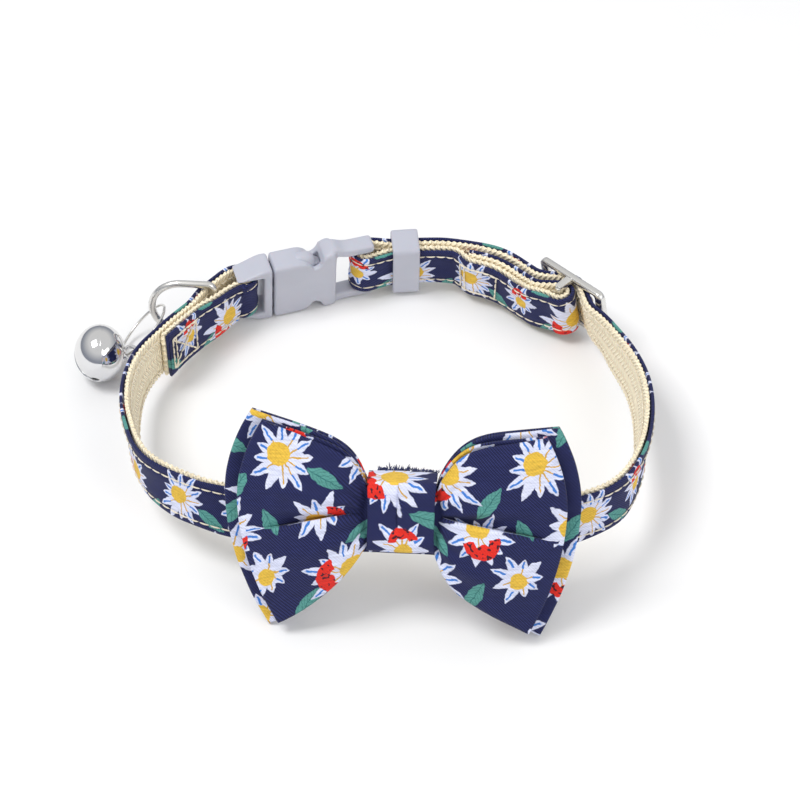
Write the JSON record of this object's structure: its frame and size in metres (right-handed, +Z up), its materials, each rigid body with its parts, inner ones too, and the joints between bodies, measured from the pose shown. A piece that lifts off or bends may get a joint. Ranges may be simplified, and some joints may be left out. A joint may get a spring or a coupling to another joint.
{
  "type": "pet bow tie collar",
  "caption": "Narrow printed fabric pet collar closed by a side release buckle, with a double bow tie on the front and a round bell on a D-ring.",
  "frame": {"origin": "middle of the footprint, on the surface that the collar stands on", "axes": "+X to the right as seen from the bow's side, +Y from the bow towards the buckle, +Z up along the strap's width"},
  "size_m": [0.114, 0.1024, 0.038],
  "materials": {
    "webbing_cotton": "woven cotton webbing",
    "printed_cotton": "plain-woven cotton with a daisy print",
    "grey_plastic": "fine satin",
    "nickel": "nickel-plated steel",
    "bell_chrome": "mirror-bright plating"
  },
  "bodies": {
    "root": {"webbing": "webbing_cotton", "printed_ribbon": "printed_cotton", "buckle_female": "grey_plastic", "buckle_male": "grey_plastic", "keeper": "grey_plastic", "slider": "nickel", "d_ring": "nickel", "jump_ring": "nickel", "bell": "bell_chrome", "bell_pea": "nickel", "bow_back": "printed_cotton", "bow_front": "printed_cotton", "knot_band": "printed_cotton"}
  },
  "joints": []
}
